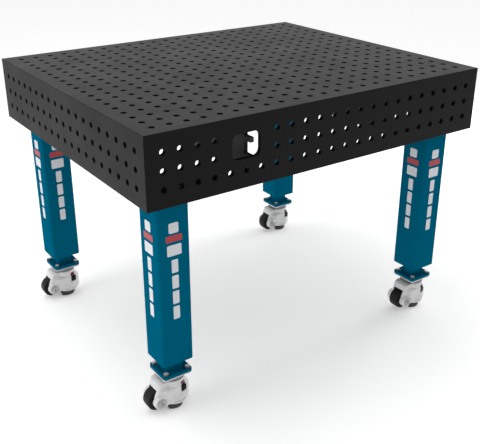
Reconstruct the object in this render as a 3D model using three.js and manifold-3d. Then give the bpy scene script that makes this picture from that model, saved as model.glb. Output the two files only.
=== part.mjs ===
// Welding table: a ribbed steel box table with a grid of fixture holes, on four square legs,
// each standing on a levelling caster (a wheel beside a screw-down rubber foot).
// Millimetres. The origin is on the floor under the middle of the table, +X runs along the
// long side, the front faces -Y, and +Z is up.
import * as THREE from "three";
import { mergeGeometries, mergeVertices } from "three/addons/utils/BufferGeometryUtils.js";
import Module from "manifold-3d";

const wasm = await Module();
wasm.setup();

// ---- Driving dimensions ----

const table = { length: 1200, width: 1000, height: 880, boxDepth: 200, plate: 12 };

const hole = { diameter: 16, pitch: 50, sides: 5 };
const holeRowDrops = [50, 100, 150]; // below the work surface, on the walls

// A plain rounded window in the front wall. It takes the place of the holes that it would touch.
const windowCut = { x: -300, drop: 82, width: 88, height: 70, corner: 18 };

const rib = { crossX: 275, longY: 25, bottomDrop: 175, halfLapDrop: 94, fit: 0.3 };
const ribNotch = { depth: 28, height: 36 }; // at the rib ends, so that a bolt can pass each hole

const cornerPlate = { length: 258, width: 178, thickness: 10 };

const leg = { inset: 100, side: 100, wall: 5, corner: 10, bottom: 170, cap: 8 };

const neck = { side: 50, wall: 4, endPlate: 8, endPlateSide: 89 };
const flange = { side: 94, corner: 9, thickness: 10, bottom: 123 };
const bolt = { spacing: 70, shankRadius: 4, holeRadius: 4.8, bottom: 114, headRadius: 7.5, headHeight: 6 };

// The race is bored out from below, so that the screw stem can rise into it.
const casterPlate = { thickness: 4, raceRadius: 40, raceBottom: 102.6, stemBoreTop: 112 };

const housing = {
  top: 102,
  shoulder: 84, // the slimmer round upper part stands on this level
  noseTop: 70, // the nose slopes back from here up to the shoulder
  bottom: 22,
  rim: 8, // the nose is drawn in by this much at the bottom
  halfWidth: 39,
  upperRadius: 39.5,
  lowerRadius: 41,
  lowerCentre: 11, // the lower nose stands forward of the swivel axis
  runningGap: 0.6,
};
const wheel = { offset: 54, height: 43, radius: 34, width: 36, chamfer: 3 };
const fork = { halfWidth: 20, roof: 80.5, wheelGap: 3, bossRadius: 21 };
// The rear edge of the housing in side view, from the top down to the fork arms.
const rearEdge = { top: [-24, 102], brow: [-50, 91], roof: [-56, 81], arm: [-61, 63] };
// In plan, the arms draw in towards the rear, and the upper part is narrower still behind its cap.
const taper = { front: [-36, 39], waist: [-56, 28.5], rear: [-62, 20], neckHalfWidth: 29 };
const lobe = { top: 61, front: -34, from: 120, to: 300 }; // the full-width end of each arm
const axle = { radius: 6, capRadius: 12, capHeight: 2, clearance: 0.5 };
const dial = { radius: 34, bottom: 75, height: 16, chamberRadius: 36.5, chamberGap: 1 };
const dialWindow = { low: 57, high: 92, angle: 60, width: 20, depth: 36 };
const foot = { stemRadius: 8, stemTop: 92, padTop: 16.5, padBottom: 0, topRadius: 34, soleRadius: 31 };
const footNotch = { x: -18, halfWidth: 20.5 }; // the side of the pad that faces the wheel
const padRecess = { radius: 36, top: 33 }; // the pad rises into it when the foot is screwed up
const BORE_SIDES = 8;

// ---- Derived dimensions ----

const halfLength = table.length / 2;
const halfWidth = table.width / 2;
const plateBottom = table.height - table.plate;
const boxBottom = table.height - table.boxDepth;
const legX = halfLength - leg.inset;
const legY = halfWidth - leg.inset;
const flangeTop = flange.bottom + flange.thickness;
const stemBoreRadius = foot.stemRadius + housing.runningGap;

// ---- Colours ----

const finish = (color, roughness, metalness) =>
  new THREE.MeshStandardMaterial({ color, roughness, metalness });
const looks = {
  tableSteel: finish(0x55575a, 0.5, 0.7),
  ribSteel: finish(0x3c3d40, 0.6, 0.6),
  legPaint: finish(0x005f7c, 0.45, 0.0),
  zincPlate: finish(0xc9ccd0, 0.35, 0.8),
  castAluminium: finish(0xcfcfcf, 0.5, 0.3),
  axleSteel: finish(0x9a9c9e, 0.4, 0.8),
  blackNylon: finish(0x232323, 0.55, 0.0),
  redPlastic: finish(0xb3142a, 0.45, 0.0),
  blackRubber: finish(0x2d2d2d, 0.8, 0.0),
  brightSteel: finish(0xe2e4e6, 0.25, 0.9),
};

// ---- Solids ----

// A closed three.js geometry as a solid that can be joined and cut.
function solidOf(geometry) {
  const bare = geometry.index ? geometry.toNonIndexed() : geometry.clone();
  bare.deleteAttribute("normal");
  bare.deleteAttribute("uv");
  const merged = mergeVertices(bare, 1e-3);
  const vertProperties = merged.attributes.position.array;
  const triVerts = new Uint32Array(merged.index.array);
  return new wasm.Manifold(new wasm.Mesh({ numProp: 3, vertProperties, triVerts }));
}

// A solid as a three.js geometry.
function geometryOf(solid) {
  const mesh = solid.getMesh();
  const positions = new Float32Array(mesh.numVert * 3);
  for (let i = 0; i < mesh.numVert; i++) {
    const from = i * mesh.numProp;
    positions.set(mesh.vertProperties.subarray(from, from + 3), i * 3);
  }
  const geometry = new THREE.BufferGeometry();
  geometry.setAttribute("position", new THREE.BufferAttribute(positions, 3));
  geometry.setIndex(new THREE.BufferAttribute(mesh.triVerts, 1));
  const faceted = geometry.toNonIndexed();
  faceted.computeVertexNormals();
  return faceted;
}

const joined = (first, ...others) => others.reduce((whole, piece) => whole.add(piece), first);
const cut = (first, ...tools) => tools.reduce((whole, tool) => whole.subtract(tool), first);

// A box between two corners.
function block(x0, x1, y0, y1, z0, z1) {
  const geometry = new THREE.BoxGeometry(x1 - x0, y1 - y0, z1 - z0);
  geometry.translate((x0 + x1) / 2, (y0 + y1) / 2, (z0 + z1) / 2);
  return solidOf(geometry);
}

// A flat outline in X and Y, raised from z0 to z1.
function upright(shape, z0, z1, curveSegments = 1) {
  const geometry = new THREE.ExtrudeGeometry(shape, { depth: z1 - z0, bevelEnabled: false, curveSegments });
  geometry.translate(0, 0, z0);
  return geometry;
}

// A side outline in X and Z, stretched across Y from -half to +half.
function across(shape, half, curveSegments = 1) {
  const geometry = new THREE.ExtrudeGeometry(shape, { depth: 2 * half, bevelEnabled: false, curveSegments });
  geometry.rotateX(Math.PI / 2);
  geometry.translate(0, half, 0);
  return geometry;
}

// A solid of revolution about Z from a profile of [radius, z] points, listed from the bottom up.
function turned(profile, segments) {
  const points = profile.map(([radius, z]) => new THREE.Vector2(radius, z));
  const geometry = new THREE.LatheGeometry(points, segments);
  geometry.rotateX(Math.PI / 2);
  return solidOf(geometry);
}

// The same, about the Y axis through (x, z).
function turnedAcross(profile, segments, x, z) {
  const points = profile.map(([radius, y]) => new THREE.Vector2(radius, y));
  const geometry = new THREE.LatheGeometry(points, segments);
  geometry.rotateY(Math.PI / 2);
  geometry.translate(x, 0, z);
  return solidOf(geometry);
}

// A rounded square or rectangle centred on (x, y).
function roundedOutline(width, height, radius, x = 0, y = 0) {
  const w = width / 2 - radius;
  const h = height / 2 - radius;
  const shape = new THREE.Shape();
  shape.absarc(x + w, y + h, radius, 0, Math.PI / 2);
  shape.absarc(x - w, y + h, radius, Math.PI / 2, Math.PI);
  shape.absarc(x - w, y - h, radius, Math.PI, 1.5 * Math.PI);
  shape.absarc(x + w, y - h, radius, 1.5 * Math.PI, 2 * Math.PI);
  return shape;
}

// A regular prism that stands for a round hole: its cross-section has the circle's own area.
function holeTool(radius, sides, x, y, z0, z1) {
  const corner = (2 * Math.PI) / sides;
  const outerRadius = radius * Math.sqrt((2 * Math.PI) / (sides * Math.sin(corner)));
  const geometry = new THREE.CylinderGeometry(outerRadius, outerRadius, z1 - z0, sides);
  geometry.rotateX(Math.PI / 2);
  geometry.translate(x, y, (z0 + z1) / 2);
  return geometry;
}

// ---- Table box ----

// The places of the fixture holes along a side of the given length, from its middle.
function holePlaces(length) {
  const count = Math.round(length / hole.pitch) - 1;
  return Array.from({ length: count }, (_, i) => (i + 1) * hole.pitch - length / 2);
}

// Tools for fixture holes through a plate that lies between z0 and z1.
function fixtureHoles(places, z0, z1) {
  const radius = hole.diameter / 2;
  const tools = places.map(([x, y]) => holeTool(radius, hole.sides, x, y, z0 - 1, z1 + 1));
  return mergeGeometries(tools);
}

function tableTop() {
  const plate = block(-halfLength, halfLength, -halfWidth, halfWidth, plateBottom, table.height);
  const places = holePlaces(table.length).flatMap((x) => holePlaces(table.width).map((y) => [x, y]));
  return cut(plate, solidOf(fixtureHoles(places, plateBottom, table.height)));
}

const touchesWindow = (x, drop) =>
  Math.abs(x - windowCut.x) < windowCut.width / 2 + hole.diameter / 2 &&
  Math.abs(drop - windowCut.drop) < windowCut.height / 2 + hole.diameter / 2;

// A wall, drawn flat: its length along X, its height as Y, its thickness from z = 0.
function flatWall(length, holeSpan, hasWindow) {
  const top = plateBottom;
  const plate = block(-length / 2, length / 2, boxBottom, top, 0, table.plate);
  const places = holePlaces(holeSpan)
    .flatMap((x) => holeRowDrops.map((drop) => [x, drop]))
    .filter(([x, drop]) => !(hasWindow && touchesWindow(x, drop)))
    .map(([x, drop]) => [x, table.height - drop]);
  const pierced = cut(plate, solidOf(fixtureHoles(places, 0, table.plate)));
  if (!hasWindow) return pierced;
  const { x, drop, width, height, corner } = windowCut;
  const outline = roundedOutline(width, height, corner, x, table.height - drop);
  return cut(pierced, solidOf(upright(outline, -1, table.plate + 1, 3)));
}

// Stands a flat wall up: its outer face looks along -Y before it is turned by the angle about Z.
function standingWall(flat, distance, angle) {
  const geometry = geometryOf(flat);
  geometry.rotateX(Math.PI / 2);
  geometry.translate(0, -distance + table.plate, 0);
  geometry.rotateZ(angle);
  return solidOf(geometry);
}

const innerWidth = table.width - 2 * table.plate;
const frontWall = () => standingWall(flatWall(table.length, table.length, true), halfWidth, 0);
const rearWall = () => standingWall(flatWall(table.length, table.length, false), halfWidth, Math.PI);
const sideWall = (angle) => standingWall(flatWall(innerWidth, table.width, false), halfLength, angle);

// ---- Ribs ----

// A rib drawn along X between the inner faces of two walls, notched at each row of wall holes.
function ribPlate(span) {
  const bottom = table.height - rib.bottomDrop;
  const half = table.plate / 2;
  const end = span / 2;
  const notches = [-1, 1].flatMap((side) =>
    holeRowDrops.map((drop) => {
      const middle = table.height - drop;
      const inner = side * (end - ribNotch.depth);
      const outer = side * (end + 1);
      const [x0, x1] = [Math.min(inner, outer), Math.max(inner, outer)];
      return block(x0, x1, -half - 1, half + 1, middle - ribNotch.height / 2, middle + ribNotch.height / 2);
    }),
  );
  return cut(block(-end, end, -half, half, bottom, plateBottom), ...notches);
}

// The slot of a half-lap joint at x along a rib, between two heights.
function lapSlot(x, z0, z1) {
  const half = table.plate / 2 + rib.fit;
  return block(x - half, x + half, -table.plate, table.plate, z0, z1);
}

const lapHeight = table.height - rib.halfLapDrop;

function crossRib(x) {
  const slotted = cut(ribPlate(innerWidth), lapSlot(rib.longY, boxBottom, lapHeight + rib.fit));
  const geometry = geometryOf(slotted);
  geometry.rotateZ(Math.PI / 2);
  geometry.translate(x, 0, 0);
  return solidOf(geometry);
}

function longRib() {
  const slots = [-rib.crossX, rib.crossX].map((x) => lapSlot(x, lapHeight, plateBottom + 1));
  const geometry = geometryOf(cut(ribPlate(table.length - 2 * table.plate), ...slots));
  geometry.translate(0, rib.longY, 0);
  return solidOf(geometry);
}

// ---- Corner plates and legs ----

// The horizontal plate in one corner of the box, which the leg is bolted to.
function cornerPlateSolid(sideX, sideY) {
  const outerX = halfLength - table.plate;
  const outerY = halfWidth - table.plate;
  const xs = [sideX * outerX, sideX * (outerX - cornerPlate.length)].sort((a, b) => a - b);
  const ys = [sideY * outerY, sideY * (outerY - cornerPlate.width)].sort((a, b) => a - b);
  return block(...xs, ...ys, boxBottom, boxBottom + cornerPlate.thickness);
}

// A square tube, closed at the top by its head plate and open at the bottom.
function legTube() {
  const outer = solidOf(upright(roundedOutline(leg.side, leg.side, leg.corner), leg.bottom, boxBottom, 2));
  const half = leg.side / 2 - leg.wall;
  return cut(outer, block(-half, half, -half, half, leg.bottom - 1, boxBottom - leg.cap));
}

const boltPlaces = [
  [-1, -1],
  [1, -1],
  [1, 1],
  [-1, 1],
].map(([x, y]) => [(x * bolt.spacing) / 2, (y * bolt.spacing) / 2]);

const boltHoles = (z0, z1) => {
  const tools = boltPlaces.map(([x, y]) => holeTool(bolt.holeRadius, 5, x, y, z0 - 1, z1 + 1));
  return solidOf(mergeGeometries(tools));
};

// The end plate inside the leg, the neck under it and the flange that carries the caster.
function legFoot() {
  const endHalf = neck.endPlateSide / 2;
  const neckHalf = neck.side / 2;
  const boreHalf = neckHalf - neck.wall;
  const endTop = leg.bottom + neck.endPlate;
  const outline = roundedOutline(flange.side, flange.side, flange.corner);
  const whole = joined(
    block(-endHalf, endHalf, -endHalf, endHalf, leg.bottom, endTop),
    block(-neckHalf, neckHalf, -neckHalf, neckHalf, flange.bottom + 1, leg.bottom + 1),
    solidOf(upright(outline, flange.bottom, flangeTop, 2)),
  );
  const bore = block(-boreHalf, boreHalf, -boreHalf, boreHalf, flange.bottom - 1, leg.bottom);
  return cut(whole, bore, boltHoles(flange.bottom, flangeTop));
}

// A hexagon bolt that clamps the caster plate under the flange.
function flangeBolt() {
  const headTop = flangeTop + bolt.headHeight;
  return turned(
    [
      [0, bolt.bottom],
      [bolt.shankRadius, bolt.bottom],
      [bolt.shankRadius, flangeTop],
      [bolt.headRadius, flangeTop],
      [bolt.headRadius, headTop],
      [0, headTop],
    ],
    6,
  );
}

// ---- Levelling caster, about its swivel axis; the wheel trails towards -X ----

// The mounting plate with its bearing race under it.
function casterPlateSolid() {
  const plateUnder = flange.bottom - casterPlate.thickness;
  const outline = roundedOutline(flange.side, flange.side, flange.corner);
  const plate = solidOf(upright(outline, plateUnder, flange.bottom, 2));
  const race = turned(
    [
      [0, casterPlate.raceBottom],
      [casterPlate.raceRadius, casterPlate.raceBottom],
      [casterPlate.raceRadius, plateUnder + 1],
      [0, plateUnder + 1],
    ],
    16,
  );
  const stemBore = turned(boreProfile(stemBoreRadius, casterPlate.raceBottom - 1, casterPlate.stemBoreTop), BORE_SIDES);
  return cut(joined(plate, race), stemBore, boltHoles(plateUnder, flange.bottom));
}

// The side outline of the housing's lower part, down to the lobes.
function lowerSideOutline() {
  const noseX = housing.lowerCentre + housing.lowerRadius;
  const shape = new THREE.Shape();
  shape.moveTo(1 - housing.halfWidth, housing.bottom);
  shape.lineTo(noseX - housing.rim, housing.bottom);
  shape.lineTo(noseX, housing.bottom + housing.rim);
  shape.lineTo(noseX, housing.noseTop);
  shape.lineTo(housing.upperRadius, housing.shoulder);
  shape.lineTo(rearEdge.roof[0], housing.shoulder);
  shape.lineTo(...rearEdge.roof);
  shape.lineTo(...rearEdge.arm);
  shape.lineTo(rearEdge.arm[0], wheel.height + 2);
  shape.closePath();
  return shape;
}

// The side outline of the lobe at the end of each arm, which holds the axle.
function lobeOutline() {
  const from = THREE.MathUtils.degToRad(lobe.from);
  const to = THREE.MathUtils.degToRad(lobe.to);
  const shape = new THREE.Shape();
  shape.moveTo(lobe.front, lobe.top);
  shape.absarc(-wheel.offset, wheel.height, fork.bossRadius, from, to);
  shape.lineTo(lobe.front, housing.bottom);
  shape.closePath();
  return shape;
}

// The side outline of the upper part, which slopes down behind to the fork arms.
function upperSideOutline() {
  const low = housing.shoulder - 1;
  const shape = new THREE.Shape();
  shape.moveTo(rearEdge.roof[0] + 1, low);
  shape.lineTo(housing.upperRadius + 1, low);
  shape.lineTo(housing.upperRadius + 1, housing.top);
  shape.lineTo(...rearEdge.top);
  shape.lineTo(...rearEdge.brow);
  shape.closePath();
  return shape;
}

// The plan outline: a round nose about (centre, 0) as far round as the angle, then the side points
// from front to back, and the same on the other side.
function planOutline(centre, radius, angle, side) {
  const shape = new THREE.Shape();
  const start = [centre + radius * Math.cos(angle), -radius * Math.sin(angle)];
  shape.moveTo(...start);
  shape.absarc(centre, 0, radius, -angle, angle);
  side.forEach(([x, y]) => shape.lineTo(x, y));
  [...side].reverse().forEach(([x, y]) => shape.lineTo(x, -y));
  shape.closePath();
  return shape;
}

const housingRear = [taper.waist, taper.rear, [-80, taper.rear[1]]];

function lowerPlanOutline() {
  const angle = Math.asin(housing.halfWidth / housing.lowerRadius);
  return planOutline(housing.lowerCentre, housing.lowerRadius, angle, [taper.front, ...housingRear]);
}

function upperPlanOutline() {
  const angle = Math.PI - Math.asin(taper.neckHalfWidth / housing.upperRadius);
  return planOutline(0, housing.upperRadius, angle, housingRear);
}

// The space for the wheel: open behind and below, rounded in front about the axle.
function forkSpace() {
  const radius = wheel.radius + fork.wheelGap;
  const shape = new THREE.Shape();
  shape.moveTo(-100, -1);
  shape.lineTo(-wheel.offset + radius * Math.cos(0.6), -1);
  shape.absarc(-wheel.offset, wheel.height, radius, -0.6, 1.5);
  shape.lineTo(-wheel.offset + 2, fork.roof);
  shape.lineTo(-100, fork.roof);
  shape.closePath();
  return solidOf(across(shape, fork.halfWidth, 5));
}

function housingSolid() {
  const tall = [0, housing.top + 1];
  const lowerPlan = solidOf(upright(lowerPlanOutline(), ...tall, 6));
  const upperPlan = solidOf(upright(upperPlanOutline(), ...tall, 8));
  const wide = housing.lowerRadius + 10;
  const lower = solidOf(across(lowerSideOutline(), wide, 4)).intersect(lowerPlan);
  const upper = solidOf(across(upperSideOutline(), wide)).intersect(upperPlan);
  const lobes = solidOf(across(lobeOutline(), housing.halfWidth, 5));
  const chamberLow = dial.bottom - dial.chamberGap;
  const chamberHigh = dial.bottom + dial.height + dial.chamberGap;
  const stemBore = boreProfile(stemBoreRadius, housing.bottom - 1, housing.top + 1);
  const axleBore = boreProfile(axle.radius + axle.clearance, -wide, wide);
  const hollows = [
    forkSpace(),
    turned(drum(dial.chamberRadius, chamberLow, chamberHigh), 12),
    turned(drum(padRecess.radius, housing.bottom - 1, padRecess.top), 14),
    turned(stemBore, BORE_SIDES),
    turnedAcross(axleBore, BORE_SIDES, -wheel.offset, wheel.height),
    dialWindowTool(-1),
    dialWindowTool(1),
  ];
  return cut(joined(lower, upper, lobes), ...hollows);
}

// The profile of a plain cylinder.
const drum = (radius, low, high) => [
  [0, low],
  [radius, low],
  [radius, high],
  [0, high],
];

// A bore has few sides, and the given radius is the distance to the middle of each.
const boreProfile = (radius, low, high) => drum(radius / Math.cos(Math.PI / BORE_SIDES), low, high);

// Opens the dial chamber on one side of the nose, so that a thumb reaches the dial.
function dialWindowTool(side) {
  const { low, high, angle, width, depth } = dialWindow;
  const geometry = new THREE.BoxGeometry(depth, width, high - low);
  geometry.translate(1.5 * depth, 0, (low + high) / 2);
  geometry.rotateZ(side * THREE.MathUtils.degToRad(angle));
  return solidOf(geometry);
}

function wheelSolid() {
  const bore = axle.radius + axle.clearance;
  const half = wheel.width / 2;
  const tread = wheel.radius - wheel.chamfer;
  return turnedAcross(
    [
      [bore, -half],
      [tread, -half],
      [wheel.radius, -half + wheel.chamfer],
      [wheel.radius, half - wheel.chamfer],
      [tread, half],
      [bore, half],
      [bore, -half],
    ],
    16,
    -wheel.offset,
    wheel.height,
  );
}

function axleSolid() {
  const face = housing.halfWidth;
  const end = face + axle.capHeight;
  return turnedAcross(
    [
      [0, -end],
      [axle.capRadius, -end],
      [axle.capRadius, -face],
      [axle.radius, -face],
      [axle.radius, face],
      [axle.capRadius, face],
      [axle.capRadius, end],
      [0, end],
    ],
    10,
    -wheel.offset,
    wheel.height,
  );
}

function dialSolid() {
  const bore = foot.stemRadius + axle.clearance;
  const top = dial.bottom + dial.height;
  return turned(
    [
      [bore, dial.bottom],
      [dial.radius, dial.bottom],
      [dial.radius, top],
      [bore, top],
      [bore, dial.bottom],
    ],
    16,
  );
}

// The screw stem with its rubber pad. The pad is notched where it passes the wheel.
function levellingFoot() {
  const whole = turned(
    [
      [0, foot.padBottom],
      [foot.soleRadius, foot.padBottom],
      [foot.topRadius, foot.padTop - 5],
      [foot.topRadius, foot.padTop],
      [foot.stemRadius, foot.padTop],
      [foot.stemRadius, foot.stemTop],
      [0, foot.stemTop],
    ],
    14,
  );
  const { x, halfWidth: notchHalf } = footNotch;
  return cut(whole, block(-foot.topRadius - 5, x, -notchHalf, notchHalf, 0, foot.padTop + 5));
}

// ---- Assembly ----

const group = new THREE.Group();

function addPiece(parent, name, solid, look, x = 0, y = 0) {
  const mesh = new THREE.Mesh(geometryOf(solid), look.clone());
  mesh.name = name;
  mesh.position.set(x, y, 0);
  parent.add(mesh);
}

const box = new THREE.Group();
group.add(box);
addPiece(box, "table_top", tableTop(), looks.tableSteel);
addPiece(box, "front_wall", frontWall(), looks.tableSteel);
addPiece(box, "rear_wall", rearWall(), looks.tableSteel);
addPiece(box, "left_wall", sideWall(-Math.PI / 2), looks.tableSteel);
addPiece(box, "right_wall", sideWall(Math.PI / 2), looks.tableSteel);
addPiece(box, "cross_rib_left", crossRib(-rib.crossX), looks.ribSteel);
addPiece(box, "cross_rib_right", crossRib(rib.crossX), looks.ribSteel);
addPiece(box, "long_rib", longRib(), looks.ribSteel);

const corners = [
  ["front_left", -1, -1],
  ["front_right", 1, -1],
  ["rear_left", -1, 1],
  ["rear_right", 1, 1],
];

for (const [corner, sideX, sideY] of corners) {
  addPiece(box, `corner_plate_${corner}`, cornerPlateSolid(sideX, sideY), looks.ribSteel);
  const stand = new THREE.Group();
  stand.position.set(sideX * legX, sideY * legY, 0);
  group.add(stand);
  addPiece(stand, `leg_${corner}`, legTube(), looks.legPaint);
  addPiece(stand, `leg_foot_${corner}`, legFoot(), looks.legPaint);
  boltPlaces.forEach(([x, y], i) => {
    addPiece(stand, `flange_bolt_${corner}_${i + 1}`, flangeBolt(), looks.brightSteel, x, y);
  });
  addPiece(stand, `caster_plate_${corner}`, casterPlateSolid(), looks.zincPlate);
  addPiece(stand, `caster_housing_${corner}`, housingSolid(), looks.castAluminium);
  addPiece(stand, `caster_axle_${corner}`, axleSolid(), looks.axleSteel);
  addPiece(stand, `caster_wheel_${corner}`, wheelSolid(), looks.blackNylon);
  addPiece(stand, `levelling_dial_${corner}`, dialSolid(), looks.redPlastic);
  addPiece(stand, `levelling_foot_${corner}`, levellingFoot(), looks.blackRubber);
}

export default group;
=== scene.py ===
"""The looks of the welding table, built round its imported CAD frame.

Lengths are in millimetres while a mesh is being built, in the frame of the CAD: the origin is on
the floor under the middle of the table, +X runs along the long side and the front faces -Y.
"""

import math

import bmesh
import bpy
from mathutils import Matrix, Vector
from mathutils.geometry import delaunay_2d_cdt


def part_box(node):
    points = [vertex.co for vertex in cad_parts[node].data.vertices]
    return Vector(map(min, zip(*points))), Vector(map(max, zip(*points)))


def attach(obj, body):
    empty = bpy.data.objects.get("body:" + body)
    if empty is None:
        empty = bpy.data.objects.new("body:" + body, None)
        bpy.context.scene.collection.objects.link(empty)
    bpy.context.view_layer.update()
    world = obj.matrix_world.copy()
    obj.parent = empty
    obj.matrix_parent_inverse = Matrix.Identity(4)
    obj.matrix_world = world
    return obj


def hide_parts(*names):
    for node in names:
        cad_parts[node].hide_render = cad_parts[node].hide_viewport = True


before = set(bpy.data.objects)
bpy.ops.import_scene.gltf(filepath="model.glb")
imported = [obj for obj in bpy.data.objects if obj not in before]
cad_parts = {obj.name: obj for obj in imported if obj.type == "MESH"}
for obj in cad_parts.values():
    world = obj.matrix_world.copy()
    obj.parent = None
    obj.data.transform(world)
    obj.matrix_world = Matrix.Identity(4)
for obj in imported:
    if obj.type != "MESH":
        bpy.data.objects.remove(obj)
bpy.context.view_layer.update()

MM = 0.001
CORNERS = ("front_left", "front_right", "rear_left", "rear_right")
UP = Vector((0, 0, 1))
SMOOTH_LOOP = 12  # a loop with more points than this is round, and its sides are shaded smooth
SHARP_ANGLE = 35.0
LEAST_SHARE = 0.3  # keeps the moved point of a sharp corner from running far out


def node_box(node):
    """The lowest and highest corner of a CAD node, in millimetres."""
    low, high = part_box(node)
    return low / MM, high / MM


def node_centre(node):
    """The middle of a CAD node in X and Y, in millimetres."""
    low, high = node_box(node)
    return (low.x + high.x) / 2, (low.y + high.y) / 2


# ---- outlines


def circle(x, y, radius, segments=32):
    """A circle as a loop of points, anticlockwise."""
    turns = [2 * math.pi * i / segments for i in range(segments)]
    return [(x + radius * math.cos(a), y + radius * math.sin(a)) for a in turns]


def arc(x, z, radius, start, stop, segments=16):
    """Points along an arc, its angles in degrees."""
    angles = [math.radians(start + (stop - start) * i / segments) for i in range(segments + 1)]
    return [(x + radius * math.cos(a), z + radius * math.sin(a)) for a in angles]


def rounded_rectangle(x, y, width, height, radius, segments=8):
    """A rectangle about (x, y) with round corners, anticlockwise."""
    reach_x, reach_y = width / 2 - radius, height / 2 - radius
    points = []
    for start, side_x, side_y in ((0, 1, 1), (90, -1, 1), (180, -1, -1), (270, 1, -1)):
        centre = x + side_x * reach_x, y + side_y * reach_y
        points += arc(*centre, radius, start, start + 90, segments)
    return points


def rounded_square(centre, side, radius):
    return rounded_rectangle(*centre, side, side, radius)


def rectangle(x0, x1, y0, y1):
    return [(x0, y0), (x1, y0), (x1, y1), (x0, y1)]


def inset(loop, distance):
    """An anticlockwise loop moved inwards by a distance, or outwards if it is negative."""
    points = []
    for i, (x, y) in enumerate(loop):
        here = Vector((x, y))
        first = (here - Vector(loop[i - 1])).normalized()
        second = (Vector(loop[(i + 1) % len(loop)]) - here).normalized()
        inwards = Vector((-first.y, first.x))
        normal = Vector((-first.y - second.y, first.x + second.x)).normalized()
        point = here + normal * (distance / max(LEAST_SHARE, normal.dot(inwards)))
        points.append((point.x, point.y))
    return points


# ---- meshes


def cap(bm, loops, rings, upwards):
    """Fills the face between an outline and the openings in it. loops are 2-D, rings their vertices."""
    points = [Vector(p) for loop in loops for p in loop]
    owner = [i for i, loop in enumerate(loops) for _ in loop]
    vertices = [v for ring in rings for v in ring]
    edges, start = [], 0
    for loop in loops:
        count = len(loop)
        edges += [(start + i, start + (i + 1) % count) for i in range(count)]
        start += count
    found = delaunay_2d_cdt(points, edges, [], 1, 1e-5)
    source = [original[0] if original else None for original in found[3]]
    for triangle in found[2]:
        corners = [source[i] for i in triangle]
        if None in corners:
            continue
        owners = {owner[i] for i in corners}
        if len(owners) == 1 and owners != {0}:
            continue
        bm.faces.new([vertices[i] for i in (corners if upwards else reversed(corners))])


def slab(bm, outline, openings, z0, z1, chamfer=0.0, opening_chamfer=None, face=None):
    """A flat plate, its edges chamfered and its openings countersunk at z1 only.

    Chamfer faces get the material index 1. With a face, the outline runs straight up from z0
    and ends in that loop at z1.
    """
    if opening_chamfer is None:
        opening_chamfer = chamfer
    levels = []
    for i, loop in enumerate([outline] + openings):
        width = -opening_chamfer if i else chamfer
        depth = abs(width)
        edge = inset(loop, width) if depth else loop
        rows = [(z0, edge), (z0 + depth, loop), (z1 - depth, loop), (z1, edge)]
        if depth == 0.0:
            rows = [(z0, loop), (z1, loop)]
        elif i or face is not None:
            rows = [(z0, loop), (z1 - depth, loop), (z1, edge if i else face)]
        rings = [(row, [bm.verts.new((x, y, z)) for x, y in row]) for z, row in rows]
        levels.append(rings)
        for level, ((_, low), (_, high)) in enumerate(zip(rings, rings[1:])):
            is_chamfer = len(rings) == 4 and level != 1 or len(rings) == 3 and level == 1
            for k in range(len(loop)):
                after = (k + 1) % len(loop)
                quad = [low[k], low[after], high[after], high[k]]
                side = bm.faces.new(quad if i == 0 else reversed(quad))
                side.material_index = int(is_chamfer)
                side.smooth = len(loop) > SMOOTH_LOOP
    for end, upwards in ((0, False), (-1, True)):
        cap(bm, [rings[end][0] for rings in levels], [rings[end][1] for rings in levels], upwards)


def skin(bm, rings, smooth=True):
    """Faces between rings of vertices, closed at both ends."""
    count = len(rings[0])
    for low, high in zip(rings, rings[1:]):
        for k in range(count):
            after = (k + 1) % count
            bm.faces.new((low[k], low[after], high[after], high[k])).smooth = smooth
    bm.faces.new(list(reversed(rings[0])))
    bm.faces.new(rings[-1])


def loft(bm, sections, smooth=True):
    """A closed skin through sections of (loop, z), each loop with as many points as the first."""
    skin(bm, [[bm.verts.new((x, y, z)) for x, y in loop] for loop, z in sections], smooth)


def lathe(bm, profile, segments=48, ripple=None):
    """A solid of revolution about Z. The profile of (radius, z) runs from the axis to the axis, or closes.

    ripple(angle, radius) gives a new radius, for knurls.
    """
    closed = profile[0] == profile[-1] and profile[0][0] > 0
    points = profile[:-1] if closed else profile
    rings = []
    for radius, z in points:
        if radius == 0:
            rings.append([bm.verts.new((0, 0, z))])
            continue
        ring = []
        for k in range(segments):
            angle = 2 * math.pi * k / segments
            r = ripple(angle, radius) if ripple else radius
            ring.append(bm.verts.new((r * math.cos(angle), r * math.sin(angle), z)))
        rings.append(ring)
    pairs = list(zip(rings, rings[1:]))
    if closed:
        pairs.append((rings[-1], rings[0]))
    for low, high in pairs:
        for k in range(segments):
            pair = (k, (k + 1) % segments)
            corners = [low[i % len(low)] for i in pair] + [high[i % len(high)] for i in reversed(pair)]
            bm.faces.new(list(dict.fromkeys(corners))).smooth = True


BEAD_SIDES = 10
BEAD_RIPPLE = 0.08  # how far a weld bead swells and shrinks, as a share of its radius


def bead(bm, start, end, radius, pitch=3.0):
    """A weld bead between two points: a rod whose skin ripples along its length."""
    start, end = Vector(start), Vector(end)
    along = (end - start).normalized()
    side = along.orthogonal().normalized()
    up = along.cross(side)
    length = (end - start).length
    steps = max(4, int(length / pitch * 3))
    rings = []
    for i in range(steps + 1):
        place = length * i / steps
        taper = min(1.0, math.sqrt(max(0.0, min(place, length - place)) / radius) + 0.15)
        swell = radius * taper * (1 + BEAD_RIPPLE * math.cos(2 * math.pi * place / pitch))
        centre = start + along * place
        ring = []
        for k in range(BEAD_SIDES):
            angle = 2 * math.pi * k / BEAD_SIDES
            ring.append(bm.verts.new(centre + (side * math.cos(angle) + up * math.sin(angle)) * swell))
        rings.append(ring)
    skin(bm, rings)


def shape(build, *sizes):
    """A new bmesh, filled by a builder such as slab, loft or lathe."""
    bm = bmesh.new()
    build(bm, *sizes)
    return bm


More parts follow.
